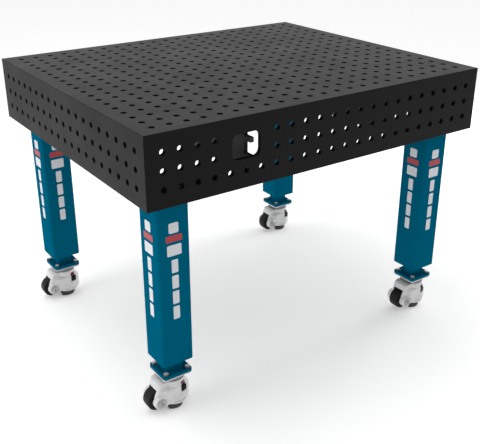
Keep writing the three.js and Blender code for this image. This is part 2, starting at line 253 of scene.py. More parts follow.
def moved(bm, matrix):
    """The same bmesh, moved by the matrix if there is one."""
    if matrix is not None:
        bmesh.ops.transform(bm, matrix=matrix, verts=bm.verts)
    return bm


def to_mesh(name, bm):
    """A Blender mesh from a bmesh, which is freed."""
    mesh = bpy.data.meshes.new(name)
    bm.to_mesh(mesh)
    bm.free()
    return mesh


def joined(parts):
    """One bmesh from pairs of a bmesh and the matrix that places it."""
    whole = bmesh.new()
    for part, matrix in parts:
        mesh = to_mesh("part", moved(part, matrix))
        whole.from_mesh(mesh)
        bpy.data.meshes.remove(mesh)
    return whole


def new_mesh(name, bm, materials, matrix=None):
    """Turns a bmesh in millimetres into a Blender mesh in metres, placed by the matrix."""
    moved(moved(bm, matrix), Matrix.Scale(MM, 4))
    bmesh.ops.recalc_face_normals(bm, faces=bm.faces)
    mesh = to_mesh(name, bm)
    for material in materials:
        mesh.materials.append(material)
    return mesh


def add_object(name, data):
    thing = bpy.data.objects.new(name, data)
    bpy.context.scene.collection.objects.link(thing)
    return thing


def add_piece(name, mesh, body, node=None, place=(0.0, 0.0)):
    """Adds a mesh as a piece that rides on a CAD body, and stands for a CAD node if one is named."""
    piece = add_object(name, mesh)
    piece.location = (place[0] * MM, place[1] * MM, 0)
    mesh.set_sharp_from_angle(angle=math.radians(SHARP_ANGLE))
    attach(piece, body)
    if node:
        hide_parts(node)


def table_piece(name, bm, materials, node=None, matrix=None):
    """Adds a piece that belongs to the table's own body."""
    add_piece(name, new_mesh(name, bm, materials, matrix), "table", node)


def at(x, y, z):
    return Matrix.Translation((x, y, z))


def across_y(x, y, z):
    """Lays a shape that was built about Z along the Y axis, at the given point."""
    return at(x, y, z) @ Matrix.Rotation(math.pi / 2, 4, "X")


def bevel_edges(target, width, angle):
    """Rounds the edges that turn by more than an angle in degrees."""
    rounding = target.modifiers.new("bevel", "BEVEL")
    rounding.width = width
    rounding.segments = 2
    rounding.limit_method = "ANGLE"
    rounding.angle_limit = math.radians(angle)


def facing(outward, origin):
    """Stands a shape that was drawn flat upright, its top looking outward, at the given point."""
    matrix = Matrix((UP.cross(outward), UP, outward)).transposed().to_4x4()
    matrix.translation = origin
    return matrix


# ---- materials


class Tree:
    """A node tree with short names for adding nodes and joining them."""

    def __init__(self, tree):
        self.nodes, self.links = tree.nodes, tree.links

    def feed(self, socket, value):
        """Gives a socket a value, or the output that drives it."""
        if isinstance(value, bpy.types.NodeSocket):
            self.links.new(value, socket)
        else:
            socket.default_value = value

    def node(self, kind, **inputs):
        """Adds a node. The names of its inputs have underscores for spaces."""
        node = self.nodes.new("ShaderNode" + kind)
        for name, value in inputs.items():
            self.feed(node.inputs[name.replace("_", " ")], value)
        return node

    def math(self, operation, *values, kind="Math"):
        node = self.node(kind)
        node.operation = operation
        for socket, value in zip(node.inputs, values):
            self.feed(socket, value)
        return node.outputs["Value"]


class Surface(Tree):
    """A node material with short names for the nodes that every finish here uses."""

    def __init__(self, name, metallic=0.0, specular=0.5):
        self.material = bpy.data.materials.new(name)
        self.material.use_nodes = True
        super().__init__(self.material.node_tree)
        self.shader = self.nodes["Principled BSDF"]
        self.set("Metallic", metallic)
        self.set("Specular IOR Level", specular)
        self.place = self.node("TexCoord").outputs["Object"]

    def set(self, socket, value):
        self.feed(self.shader.inputs[socket], value)

    def stretched(self, scale):
        """Object coordinates scaled along each axis, for grain that runs one way."""
        return self.node("Mapping", Scale=scale, Vector=self.place).outputs["Vector"]

    def noise(self, scale, detail=4.0, roughness=0.6, vector=None):
        """Noise in features per metre."""
        place = vector or self.place
        node = self.node("TexNoise", Scale=scale, Detail=detail, Roughness=roughness, Vector=place)
        return node.outputs["Fac"]

    def spread(self, value, low, high, start=0.3, stop=0.7):
        """Maps the middle of a noise to a range of values."""
        ends = {"From_Min": start, "From_Max": stop, "To_Min": low, "To_Max": high}
        return self.node("MapRange", Value=value, **ends).outputs["Result"]

    def mixed(self, amount, first, second):
        """A colour between two others, which are colours or outputs."""
        node = self.node("Mix")
        node.data_type = "RGBA"
        self.feed(node.inputs[0], amount)
        sockets = [s for s in node.inputs if s.type == "RGBA"]
        for socket, color in zip(sockets, (first, second)):
            self.feed(socket, (*color, 1.0) if isinstance(color, tuple) else color)
        return next(s for s in node.outputs if s.type == "RGBA")

    def mottled(self, noise, first, second):
        """A colour that goes from the first to the second with a noise."""
        return self.mixed(self.spread(noise, 0.0, 1.0), first, second)

    def finish(self, color, rough, height=None, depth=0.0):
        """The finished material, raised by up to the depth in metres if a height is given."""
        self.set("Base Color", color)
        self.set("Roughness", rough)
        if height is not None:
            bump = self.node("Bump", Distance=depth, Strength=1.0, Height=height)
            self.set("Normal", bump.outputs["Normal"])
        return self.material

    def varied(self, noise, first, second, smooth, rough, *bump):
        """The finished material, its colour and roughness driven by one noise."""
        color = self.mottled(noise, first, second)
        return self.finish(color, self.spread(noise, smooth, rough), *bump)

    def edge_highlight(self, radius, amount):
        """0 on flat surfaces, up to the amount where an edge is within the radius: the mask for a painted
        highlight along edges.
        """
        rounded = self.node("Bevel", Radius=radius)
        rounded.samples = 4
        true = self.node("NewGeometry").outputs["Normal"]
        same = self.math("DOT_PRODUCT", rounded.outputs["Normal"], true, kind="VectorMath")
        return self.spread(self.math("SUBTRACT", 1.0, same), 0.0, amount, 0.0, 0.15)


def scaled(color, factor):
    return tuple(min(1.0, c * factor) for c in color)


def table_steel(name, scribed, specular):
    """Dark satin plate: fine ground grain, soft mottling and, on the top, scribed grid lines."""
    base = (0.0072, 0.0073, 0.0076)
    surface = Surface(name, specular=specular)
    mottle = surface.noise(7.0, 5.0)
    grain = surface.noise(900.0, 2.0, vector=surface.stretched((0.06, 1.0, 1.0)))
    specks = surface.spread(surface.noise(420.0, 3.0), 0.0, 0.6, 0.62, 0.75)
    color = surface.mottled(mottle, scaled(base, 0.86), scaled(base, 1.16))
    color = surface.mixed(specks, color, scaled(base, 1.7))
    rough = surface.math("ADD", surface.spread(mottle, 0.38, 0.47), surface.spread(grain, -0.04, 0.04))
    height = surface.math("MULTIPLY", grain, 0.4)
    if scribed:
        lines = scribed_lines(surface)
        color = surface.mixed(lines, color, scaled(base, 0.35))
        height = surface.math("SUBTRACT", height, surface.math("MULTIPLY", lines, 1.5))
    return surface.finish(color, rough, height, 0.00004)


def scribed_lines(surface):
    """1 on the thin lines that are scribed every 100 mm both ways through the holes, else 0."""
    spacing, half_width = 0.1, 0.0005
    split = surface.node("SeparateXYZ", Vector=surface.place)
    masks = []
    for axis in ("X", "Y"):
        shifted = surface.math("ADD", split.outputs[axis], 10 * spacing + spacing / 2)
        phase = surface.math("MODULO", shifted, spacing)
        distance = surface.math("ABSOLUTE", surface.math("SUBTRACT", phase, spacing / 2))
        masks.append(surface.math("LESS_THAN", distance, half_width))
    return surface.math("MAXIMUM", *masks)


def painted_shade_edge_steel():
    """The countersinks and chamfered edges of the table plates, painted much darker than the plate as shade
    in these hollows and along the edges, and a little paler in spots.
    """
    base = (0.0025, 0.0025, 0.0026)
    surface = Surface("edges_painted_shade", specular=0.08)
    return surface.varied(surface.noise(160.0, 4.0), base, scaled(base, 2.2), 0.5, 0.62)


def mill_steel():
    """Dark plate as it comes from the mill, for the ribs inside the box."""
    base = (0.028, 0.028, 0.029)
    surface = Surface("rib_steel", metallic=0.3)
    tones = scaled(base, 0.75), scaled(base, 1.3)
    scale = surface.noise(300.0, 4.0)
    return surface.varied(surface.noise(26.0, 6.0), *tones, 0.52, 0.68, scale, 0.00006)


def weld_metal():
    """Bare weld metal, tinted here and there by the heat."""
    base = (0.07, 0.068, 0.066)
    surface = Surface("weld_metal", metallic=0.85)
    return surface.varied(surface.noise(90.0, 3.0), base, (0.10, 0.085, 0.07), 0.34, 0.5)


def leg_paint():
    """Teal-blue powder coat with a faint orange peel, and a paler teal along its edges that is a painted
    highlight.
    """
    surface = Surface("leg_paint", specular=0.0)
    color = surface.mottled(surface.noise(9.0, 4.0), (0.0, 0.104, 0.182), (0.0, 0.118, 0.204))
    # painted highlight: the edges are mixed towards a paler teal
    color = surface.mixed(surface.edge_highlight(0.0012, 0.35), color, (0.004, 0.16, 0.26))
    rough = surface.spread(surface.noise(40.0, 3.0), 0.32, 0.42)
    return surface.finish(color, rough, surface.noise(650.0, 2.0, 0.4), 0.00006)


def cast_aluminium():
    """Light grey die casting: a fine sandy skin, slightly brighter on the edges as a painted highlight."""
    base = (0.75, 0.75, 0.745)
    surface = Surface("cast_aluminium")
    color = surface.mottled(surface.noise(60.0, 4.0), scaled(base, 0.93), scaled(base, 1.05))
    # painted highlight: the edges are mixed towards a paler grey
    color = surface.mixed(surface.edge_highlight(0.001, 0.7), color, (0.80, 0.80, 0.80))
    rough = surface.spread(surface.noise(150.0, 3.0), 0.4, 0.52)
    return surface.finish(color, rough, surface.noise(1400.0, 3.0), 0.00005)


def zinc(name, base, roughness, metallic=0.9):
    """Zinc-plated steel with a faint crystalline variation."""
    surface = Surface(name, metallic)
    crystals = surface.node("TexVoronoi", Scale=350.0, Vector=surface.place)
    tone = surface.spread(crystals.outputs["Distance"], 0.0, 1.0, 0.0, 0.8)
    color = surface.mixed(tone, scaled(base, 0.9), scaled(base, 1.08))
    return surface.finish(color, surface.spread(surface.noise(120.0), roughness - 0.05, roughness + 0.07))


def turned_steel():
    """Lathe-turned steel with fine rings round its axis."""
    base = (0.42, 0.42, 0.43)
    surface = Surface("turned_steel", metallic=0.95)
    marks = surface.noise(2600.0, 2.0, vector=surface.stretched((0.2, 1.0, 0.2)))
    return surface.varied(marks, scaled(base, 0.85), scaled(base, 1.1), 0.26, 0.4, marks, 0.00002)


def race_steel():
    """The swivel race under the caster plate, darker than the zinc plate above it."""
    base = (0.235, 0.235, 0.24)
    surface = Surface("race_steel", metallic=0.7)
    return surface.varied(surface.noise(80.0, 4.0), scaled(base, 0.8), scaled(base, 1.25), 0.34, 0.5)


def plastic(name, base, roughness):
    """Moulded plastic with scuffs and a fine spark-eroded grain."""
    surface = Surface(name, specular=0.2)
    tones = scaled(base, 0.85), scaled(base, 1.25)
    limits = roughness - 0.06, roughness + 0.08
    grain = surface.noise(1800.0, 2.0)
    return surface.varied(surface.noise(70.0, 5.0), *tones, *limits, grain, 0.00003)


def rubber():
    """Matte rubber, dusty in patches."""
    base = (0.045, 0.045, 0.045)
    surface = Surface("black_rubber")
    dust = surface.noise(110.0, 6.0)
    color = surface.mixed(surface.spread(dust, 0.0, 0.5, 0.5, 0.8), base, (0.085, 0.083, 0.079))
    return surface.finish(color, surface.spread(dust, 0.68, 0.85), surface.noise(1100.0, 4.0), 0.00008)


def print_ink(name, base):
    """Screen-printed ink on the powder coat: thin, and slightly uneven."""
    surface = Surface(name)
    color = surface.mottled(surface.noise(500.0, 4.0), scaled(base, 0.9), base)
    return surface.finish(color, 0.4, surface.noise(650.0, 2.0, 0.4), 0.00004)


TOP_STEEL = table_steel("table_top_steel", scribed=True, specular=0.14)
WALL_STEEL = table_steel("table_wall_steel", scribed=False, specular=0.08)
# The countersinks and plate edges take a near-black steel: painted shade in the hollows and along the edges.
EDGE_STEEL_PAINTED_SHADE = painted_shade_edge_steel()
RIB_STEEL = mill_steel()
WELD = weld_metal()
PAINT = leg_paint()
CAST = cast_aluminium()
ZINC = zinc("zinc_plate", (0.60, 0.61, 0.62), 0.3)
# Lit and shaded copies of one zinc for the flange bolts: the pale one is a painted highlight on their tops,
# the dark one painted shade on the rest.
BOLT_ZINC_HIGHLIGHT = zinc("bolt_zinc_painted_highlight", (0.88, 0.88, 0.9), 0.3, metallic=0.4)
BOLT_ZINC_SHADE = zinc("bolt_zinc_painted_shade", (0.20, 0.21, 0.22), 0.34)
TURNED = turned_steel()
RACE = race_steel()
# Near-black nylon: the wheel's own colour, and on the dial body and window linings painted shade.
NYLON = plastic("black_nylon", (0.0075, 0.0075, 0.0075), 0.48)
RED = plastic("red_plastic", (0.42, 0.012, 0.03), 0.4)
RUBBER = rubber()
WHITE_INK = print_ink("white_ink", (0.72, 0.75, 0.78))
RED_INK = print_ink("red_ink", (0.45, 0.02, 0.03))


# ---- table box

HOLE_PITCH = 50.0
HOLE_RADIUS = 8.0
HOLE_CHAMFER = 1.2
PLATE_CHAMFER = 0.8
WALL_ROWS_BELOW_TOP = (50.0, 100.0, 150.0)
WINDOW = {"x": -300.0, "below": 82.0, "width": 88.0, "height": 70.0, "corner": 18.0}
UPRIGHT = 0.1  # a face whose normal rises less than this is upright
top_low, top_high = node_box("table_top")


def hole_places(low, high):
    """Hole positions along a side, one pitch in from each edge."""
    count = round((high - low) / HOLE_PITCH) - 1
    return [low + HOLE_PITCH * (i + 1) for i in range(count)]


def table_top():
    """The top plate. Its sides and the bores of its holes are finished like the walls."""
    across = hole_places(top_low.y, top_high.y)
    holes = [circle(x, y, HOLE_RADIUS) for x in hole_places(top_low.x, top_high.x) for y in across]
    outline = rectangle(top_low.x, top_high.x, top_low.y, top_high.y)
    face = inset(outline, PLATE_CHAMFER)
    plate = shape(slab, outline, holes, top_low.z, top_high.z, PLATE_CHAMFER, HOLE_CHAMFER, face)
    plate.normal_update()
    for side in plate.faces:
        if abs(side.normal.z) < UPRIGHT:
            side.material_index = 2
    # The chamfers and countersinks take the near-black edge steel, which is painted shade.
    table_piece("table_top_plate", plate, [TOP_STEEL, EDGE_STEEL_PAINTED_SHADE, WALL_STEEL], "table_top")


def near_window(u, v):
    reach_u = WINDOW["width"] / 2 + HOLE_RADIUS
    reach_v = WINDOW["height"] / 2 + HOLE_RADIUS
    middle = top_high.z - WINDOW["below"]
    return abs(u - WINDOW["x"]) < reach_u and abs(v - middle) < reach_v


def wall(node, outward, hole_low, hole_high):
    """A wall plate, drawn flat with its length along X and its height along Y, then stood up.

    Its outer edges are chamfered where they are free. The front and rear walls run through to the corners.
    """
    low, high = node_box(node)
    along = UP.cross(outward)
    length = abs((high - low).dot(along))
    thickness = abs((high - low).dot(outward))
    outer = max(low.dot(outward), high.dot(outward))
    has_window = node == "front_wall"
    openings = []
    for u in hole_places(hole_low, hole_high):
        for below in WALL_ROWS_BELOW_TOP:
            v = top_high.z - below
            if not (has_window and near_window(u, v)):
                openings.append(circle(u, v, HOLE_RADIUS))
    if has_window:
        middle = top_high.z - WINDOW["below"]
        size = (WINDOW["width"], WINDOW["height"], WINDOW["corner"])
        openings.append(rounded_rectangle(WINDOW["x"], middle, *size))
    runs_through = along.x != 0.0
    end = length / 2 - (PLATE_CHAMFER if runs_through else 0.0)
    outline = rectangle(-length / 2, length / 2, low.z, high.z)
    face = rectangle(-end, end, low.z + PLATE_CHAMFER, high.z)
    plate = shape(slab, outline, openings, -thickness, 0.0, PLATE_CHAMFER, HOLE_CHAMFER, face)
    place = facing(outward, outward * outer)
    # The chamfers and countersinks take the near-black edge steel, which is painted shade.
    table_piece(node + "_plate", plate, [WALL_STEEL, EDGE_STEEL_PAINTED_SHADE], node, place)


table_top()
wall("front_wall", Vector((0, -1, 0)), top_low.x, top_high.x)
wall("rear_wall", Vector((0, 1, 0)), top_low.x, top_high.x)
wall("left_wall", Vector((-1, 0, 0)), top_low.y, top_high.y)
wall("right_wall", Vector((1, 0, 0)), top_low.y, top_high.y)


# ---- ribs, corner plates and welds

RIB_BEVEL = 0.6
BEAD_RADIUS = 3.5
BEAD_LENGTH = 55.0
BEAD_SPACING = 170.0
RIB_END_GAP = 30.0  # from the end of a rib to the stretch that holds its beads
PLATE_END_GAP = 12.0
LEG_BOLT = {"reach": 30.0, "hole": 6.5, "head": 9.0, "height": 7.5}
LEG_WASHER = {"inner": 6.6, "outer": 11.5, "thickness": 2.0}


def finish_rib(node):
    """Keeps a rib's CAD solid, with a small bevel on its edges and a finished material."""
    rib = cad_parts[node]
    rib.data.materials.clear()
    rib.data.materials.append(RIB_STEEL)
    bevel_edges(rib, RIB_BEVEL * MM, 40)


def stitched_beads(bm, node, axis, side, gap):
    """Weld beads along one side of a node's upper face, in stitches with gaps between them.

    They run along the axis, 0 for X and 1 for Y. The side is the place on the other axis.
    """
    low, high = node_box(node)
    start, end = high.copy(), high.copy()
    start[1 - axis] = end[1 - axis] = side
    start[axis] = low[axis] + gap
    end[axis] -= gap
    length = (end - start).length
    count = max(1, int(length / BEAD_SPACING))
    for i in range(count):
        middle = start.lerp(end, (i + 0.5) / count)
        half = (end - start).normalized() * min(BEAD_LENGTH, length * 0.8) / 2
        bead(bm, middle - half, middle + half, BEAD_RADIUS)


def rib_welds(node, axis):
    """Stitches on both sides of a rib, under the table top."""
    bm = bmesh.new()
    for corner in node_box(node):
        stitched_beads(bm, node, axis, corner[1 - axis], RIB_END_GAP)
    table_piece(node + "_welds", bm, [WELD])


def hexagon_head(bm, corner, height):
    """A hexagon head standing on z = 0, with this radius to its corners, which are turned off on top."""
    segments = 48
    flat = corner * math.cos(math.pi / 6)

    def hexagon(limit):
        points = []
        for k in range(segments):
            angle = 2 * math.pi * k / segments
            to_flat = (angle + math.pi / 6) % (math.pi / 3) - math.pi / 6
            radius = min(flat / math.cos(to_flat), limit)
            points.append((radius * math.cos(angle), radius * math.sin(angle)))
        return points

    sections = [
        (hexagon(flat), 0.0),
        (hexagon(corner), 0.4),
        (hexagon(corner), height - 1.6),
        (hexagon((corner + flat) / 2), height - 0.8),
        (hexagon(flat * 0.98), height - 0.2),
        (circle(0, 0, flat * 0.9, segments), height),
    ]
    loft(bm, sections, False)


def washer(bm, inner, outer, thickness):
    """A flat washer standing on z = 0, its outer edges broken."""
    edge, segments = 0.3, 40
    rim = [(outer - edge, 0.0), (outer, edge), (outer, thickness - edge), (outer - edge, thickness)]
    lathe(bm, [(inner, 0.0), *rim, (inner, thickness), (inner, 0.0)], segments)


def corner_plate(corner):
    """The plate that a leg hangs from, welded into the corner of the box, with the leg's four bolts."""
    name = "corner_plate_" + corner
    low, high = node_box(name)
    leg_x, leg_y = node_centre("leg_" + corner)
    reach = LEG_BOLT["reach"]
    bolts = [(leg_x + sx, leg_y + sy) for sx in (-reach, reach) for sy in (-reach, reach)]
    outline = rectangle(low.x, high.x, low.y, high.y)
    holes = [circle(x, y, LEG_BOLT["hole"]) for x, y in bolts]
    plate = shape(slab, outline, holes, low.z, high.z, 0.8, 0.6)
    table_piece(name + "_plate", plate, [RIB_STEEL, RIB_STEEL], name)
    parts = []
    for x, y in bolts:
        head = shape(hexagon_head, LEG_BOLT["head"], LEG_BOLT["height"])
        parts.append((head, at(x, y, high.z + LEG_WASHER["thickness"])))
        parts.append((shape(washer, *LEG_WASHER.values()), at(x, y, high.z)))
    table_piece("leg_bolts_" + corner, joined(parts), [ZINC])
    bm = bmesh.new()
    for axis in (0, 1):
        wall_side = max(low[1 - axis], high[1 - axis], key=abs)
        stitched_beads(bm, name, axis, wall_side, PLATE_END_GAP)
    table_piece(name + "_welds", bm, [WELD])


for rib, axis in (("cross_rib_left", 1), ("cross_rib_right", 1), ("long_rib", 0)):
    finish_rib(rib)
    rib_welds(rib, axis)
for corner in CORNERS:
    corner_plate(corner)


# ---- legs

LEG_CORNER = 10.0
LEG_WALL = 5.0
LEG_CAP = 8.0
LEG_EDGE = 0.8
NECK_SIDE = 50.0
NECK_WALL = 4.0
NECK_CORNER = 5.0
NECK_BEAD = 3.0
END_PLATE_SIDE = 89.0
END_PLATE_CORNER = 4.0
FLANGE_THICKNESS = 10.0
FLANGE_CORNER = 9.0
PLATE_THICKNESS = 4.0
BOLT_HOLE_RADIUS = 4.8
BOLT_REACH = 35.0
BOLT_PLACES = [(x * BOLT_REACH, y * BOLT_REACH) for x, y in ((-1, -1), (1, -1), (1, 1), (-1, 1))]
# highlight_above: how far over the flange an upward face must be to take the painted highlight
BOLT = {"corner": 7.3, "nut_height": 5.5, "thread": 4.0, "pitch": 1.25, "end": 1.5, "highlight_above": 3.0}
BOLT_WASHER = {"inner": 4.2, "outer": 8.6, "thickness": 1.4}

# Plain printed blocks, in place of any lettering: (colour, drop below the leg's top, height, width, corner).
PRINTED_BLOCKS = [
    ("white", 70.0, 30.0, 30.0, 5.0),
    ("red", 106.0, 19.0, 50.0, 3.0),
    ("white", 134.0, 32.0, 44.0, 3.0),
    *(("white", 178.0 + 48.0 * i, 40.0, 20.0, 3.0) for i in range(4)),
]
INK_THICKNESS = 0.12
INK_SINK = 0.05  # how far the ink reaches into the paint


def leg_tube(corner):
    """A square tube with rounded corners, open below and closed by its head plate above."""
    low, high = node_box("leg_" + corner)
    side = high.x - low.x
    bore = side - 2 * LEG_WALL
    bore_corner = LEG_CORNER - LEG_WALL
    edge = LEG_EDGE
    levels = [
        (bore, bore_corner, high.z - LEG_CAP),
        (bore, bore_corner, low.z + edge),
        (bore + edge, bore_corner + edge / 2, low.z),
        (side - edge, LEG_CORNER - edge / 2, low.z),
        (side, LEG_CORNER, low.z + edge),
        (side, LEG_CORNER, high.z - edge),
        (side - 2 * edge, LEG_CORNER - edge, high.z),
    ]
    centre = node_centre("leg_" + corner)
    sections = [(rounded_square(centre, width, radius), z) for width, radius, z in levels]
    table_piece("leg_tube_" + corner, shape(loft, sections), [PAINT], "leg_" + corner)


def bolted_plate(centre, side, low, high, chamfer, hole_chamfer):
    """A flange, or the plate under it, with its four bolt holes."""
    x, y = centre
    holes = [circle(x + bx, y + by, BOLT_HOLE_RADIUS) for bx, by in BOLT_PLACES]
    return shape(slab, rounded_square(centre, side, FLANGE_CORNER), holes, low, high, chamfer, hole_chamfer)


def leg_foot(corner):
    """The end plate, neck and flange under a leg, with the weld beads between them."""
    node = "leg_foot_" + corner
    low, high = node_box(node)
    neck_bottom = node_box("leg_" + corner)[0].z
    centre = node_centre(node)
    flange_top = low.z + FLANGE_THICKNESS
    flange = bolted_plate(centre, high.x - low.x, low.z, flange_top, 0.8, 0.5)
    table_piece("leg_flange_" + corner, flange, [PAINT, PAINT], node)
    outline = rounded_square(centre, NECK_SIDE, NECK_CORNER)
    bore = rounded_square(centre, NECK_SIDE - 2 * NECK_WALL, 2.0)
    neck = shape(slab, outline, [bore], flange_top, neck_bottom, 0.2)
    table_piece("leg_neck_" + corner, neck, [PAINT, PAINT])
    outline = rounded_square(centre, END_PLATE_SIDE, END_PLATE_CORNER)
    end_plate = shape(slab, outline, [], neck_bottom + 0.4, high.z, 0.6)
    table_piece("leg_end_plate_" + corner, end_plate, [PAINT, PAINT])
    bm = bmesh.new()
    reach = NECK_SIDE / 2
    for turn in range(4):
        angle = turn * math.pi / 2
        outward = Vector((math.cos(angle), math.sin(angle), 0))
        half = Vector((-math.sin(angle), math.cos(angle), 0)) * (reach - NECK_BEAD)
        foot = Vector((*centre, flange_top)) + outward * reach
        bead(bm, foot - half, foot + half, NECK_BEAD, 2.5)
    table_piece("leg_neck_welds_" + corner, bm, [PAINT])


def threaded_rod(radius, z0, z1, pitch):
    """The profile of a rod with thread grooves along its whole length."""
    root = radius - pitch * 0.5
    profile = [(0.0, z0), (root, z0)]
    for i in range(int((z1 - z0) / pitch)):
        z = z0 + (i + 0.5) * pitch
        profile += [(radius, z), (root, z + pitch / 2)]
    return profile + [(root, z1), (0.0, z1)]


def flange_bolts(corner):
    """Four bolts, each with its washer and nut, clamping the caster plate under the flange."""
    low, _ = node_box("leg_foot_" + corner)
    flange_top = low.z + FLANGE_THICKNESS
    nut_top = low.z - PLATE_THICKNESS
    head_low = flange_top + BOLT_WASHER["thickness"]
    for number in range(1, 5):
        node = f"flange_bolt_{corner}_{number}"
        bolt_low, bolt_high = node_box(node)
        x, y = node_centre(node)
        head = shape(hexagon_head, BOLT["corner"], bolt_high.z - head_low)
        nut = shape(hexagon_head, BOLT["corner"], BOLT["nut_height"])
        thread = threaded_rod(BOLT["thread"], bolt_low.z - BOLT["end"], flange_top, BOLT["pitch"])
        parts = [
            (shape(washer, *BOLT_WASHER.values()), at(x, y, flange_top)),
            (head, at(x, y, head_low)),
            (nut, at(x, y, nut_top) @ Matrix.Rotation(math.pi, 4, "X")),
            (shape(lathe, thread, 20), at(x, y, 0)),
        ]
        bolt = joined(parts)
        bolt.normal_update()
        # Painted light: upward faces high on the bolt take the pale zinc as a highlight, and every other face
        # takes the dark zinc as shade.
        for face in bolt.faces:
            is_top = face.calc_center_median().z > flange_top + BOLT["highlight_above"]
            face.material_index = int(not (is_top and face.normal.z > 0.6))
        table_piece(f"bolt_{corner}_{number}", bolt, [BOLT_ZINC_HIGHLIGHT, BOLT_ZINC_SHADE], node)


def leg_print(corner):
    """The printed blocks on the two faces of a leg that look left and forward."""
    low, high = node_box("leg_" + corner)
    centre = Vector((*node_centre("leg_" + corner), 0))
    half = (high.x - low.x) / 2
    for face, outward in (("left", Vector((-1, 0, 0))), ("front", Vector((0, -1, 0)))):
        place = facing(outward, centre + outward * half)
        for ink, material in (("white", WHITE_INK), ("red", RED_INK)):
            bm = bmesh.new()
            for colour, drop, height, width, radius in PRINTED_BLOCKS:
                if colour == ink:
                    outline = rounded_rectangle(0, high.z - drop - height / 2, width, height, radius, 4)
                    slab(bm, outline, [], -INK_SINK, INK_THICKNESS)
            table_piece(f"{ink}_print_{face}_{corner}", bm, [material], matrix=place)


for corner in CORNERS:
    leg_tube(corner)
    leg_foot(corner)
    flange_bolts(corner)
    leg_print(corner)


# ---- levelling casters

# Each is built about its swivel axis at x = y = 0, with the wheel trailing towards -X.
WHEEL_OFFSET = 54.0
AXLE_HEIGHT = 43.0
AXLE_PLACE = across_y(-WHEEL_OFFSET, 0, AXLE_HEIGHT)
AXLE_BORE = 6.4
WHEEL_RADIUS = 34.0
WHEEL_HALF = 18.0
WHEEL_GAP = 3.5
FORK_HALF = 20.0
FORK_ROOF = 80.5
LOBE_RADIUS = 21.0
LOBE_TOP = 62.6
LOBE_FRONT = -34.0
LOBE_REAR = -62.0
HOUSING_TOP = 102.0
HOUSING_BOTTOM = 22.0
HOUSING_HALF = 39.0
TAPER_FRONT = -36.0  # the sides draw in from here to the rear edges
REAR_HALF = 29.0
SEAM_LOW, SEAM_HIGH = 27.9, 30.1  # the groove round the casting above its rim
RIM_CENTRE = 5.0
SEAT_RADIUS = 18.2  # the round recess for the axle's head
BOSS_RADIUS = 15.4
PLUG_PLACE = (10.0, 46.0)
DIAL_LOW, DIAL_RING_LOW, DIAL_HIGH = 75.0, 81.0, 91.0
WINDOW_LOW, WINDOW_HIGH = 57.0, 92.0
WINDOW_TURN = 58.5
WINDOW_HALF = 10.5
CHAMBER_RADIUS = 35.4
PAD_RECESS = {"radius": 35.0, "top": 33.0}
STEM_BORE = 9.0
RACE_BOTTOM, RACE_TOP = 102.6, 119.0
PLAN_SEGMENTS = 40
LOWER_NOSE = (11.0, 42.0, 39.0)  # where the nose of the casting's plan starts, its reach and half width
MIDDLE_NOSE = (3.0, 39.9, 39.0)  # the same where the dial is
UPPER_TURN = 132.0  # how far round the swivel axis the casting's upper part is circular, in degrees
VOXEL = 0.9


def housing_plan(centre, reach, half, turn, crease):
    """A plan outline: an elliptical nose as far round as the turn, then sides that draw in to the back."""
    nose = []
    for i in range(PLAN_SEGMENTS + 1):
        angle = math.radians(turn) * (2 * i / PLAN_SEGMENTS - 1)
        nose.append((centre + reach * math.cos(angle), half * math.sin(angle)))
    drawn_in = (turn - 90) / (UPPER_TURN - 90)
    front_half = half + (REAR_HALF - half) * drawn_in
    side = [(TAPER_FRONT, front_half), (crease, REAR_HALF), (crease - 4.0, 22.0), (crease - 5.0, 12.0)]
    return nose + side + [(x, -y) for x, y in reversed(side)]


def rim_plan(reach, half):
    """A plan outline that is round behind and drawn out to the nose in front."""
    points = []
    for i in range(2 * PLAN_SEGMENTS):
        angle = math.pi * i / PLAN_SEGMENTS
        length = reach if math.cos(angle) > 0 else half
        points.append((RIM_CENTRE + length * math.cos(angle), half * math.sin(angle)))
    return points


def skin_radius(angle, centre, reach, half):
    """How far the nose of a plan outline is from the swivel axis, in a direction in degrees."""
    along, across = math.cos(math.radians(angle)), math.sin(math.radians(angle))
    square = (along / reach) ** 2 + (across / half) ** 2
    linear = along * centre / reach**2
    constant = (centre / reach) ** 2 - 1.0
    return (linear + math.sqrt(linear**2 - square * constant)) / square


def temporary(bm, matrix=None):
    """A helper object for boolean work, still in millimetres."""
    moved(bm, matrix)
    bmesh.ops.recalc_face_normals(bm, faces=bm.faces)
    return add_object("helper", to_mesh("helper", bm))


def carve(target, operation, bm, matrix=None):
    """Joins a shape to the target, or cuts it out of the target."""
    tool = temporary(bm, matrix)
    modifier = target.modifiers.new("boolean", "BOOLEAN")
    modifier.operation = operation
    modifier.solver = "EXACT"
    modifier.object = tool
    apply_modifiers(target)
    old = tool.data
    bpy.data.objects.remove(tool)
    bpy.data.meshes.remove(old)


def apply_modifiers(target):
    graph = bpy.context.evaluated_depsgraph_get()
    graph.update()
    made = bpy.data.meshes.new_from_object(target.evaluated_get(graph))
    old = target.data
    target.modifiers.clear()
    target.data = made
    bpy.data.meshes.remove(old)


def finished_mesh(helper, name, material):
    """The helper's mesh in metres, smooth and with its material. The helper is removed."""
    mesh = helper.data
    bpy.data.objects.remove(helper)
    mesh.transform(Matrix.Scale(MM, 4))
    mesh.name = name
    for face in mesh.polygons:
        face.use_smooth = True
    mesh.materials.clear()
    mesh.materials.append(material)
    return mesh


def side_prism(outline, half):
    """A prism from an outline in X and Z, across Y to this far on each side."""
    return moved(shape(slab, outline, [], -half, half), across_y(0, 0, 0))


def rod(radius, z0, z1):
    """A plain cylinder about Z, to cut or join."""
    return shape(lathe, [(0.0, z0), (radius, z0), (radius, z1), (0.0, z1)])


